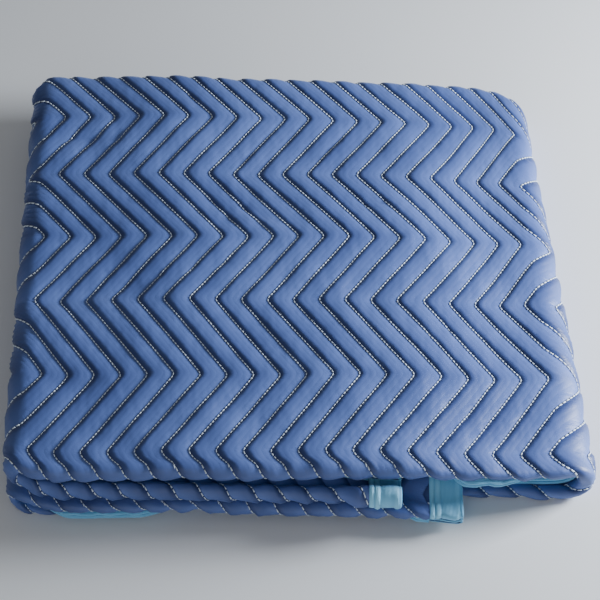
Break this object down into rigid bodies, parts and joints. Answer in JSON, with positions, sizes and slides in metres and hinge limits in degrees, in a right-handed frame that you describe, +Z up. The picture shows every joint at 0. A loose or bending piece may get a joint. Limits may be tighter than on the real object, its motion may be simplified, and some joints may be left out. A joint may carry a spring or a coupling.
{
  "type": "moving blanket",
  "caption": "Quilted moving blanket with a tape binding, folded into a flat square pad.",
  "frame": {"origin": "middle of the folded pad's underside, on the surface that it rests on", "axes": "+Z up, +X to the pad's right, where the whole bundle is folded, -Y to its front, where the rolled folds and the bound ends show"},
  "size_m": [0.5706, 0.5384, 0.0733],
  "materials": {
    "quilted_cloth": "soft sheen, padded quilting",
    "binding_tape": "matt woven tape"
  },
  "bodies": {
    "root": {"quilted_cloth": "quilted_cloth", "binding_upper_flap": "binding_tape", "binding_lower_flap": "binding_tape", "binding_inner_end": "binding_tape", "binding_outer_end": "binding_tape"}
  },
  "joints": []
}
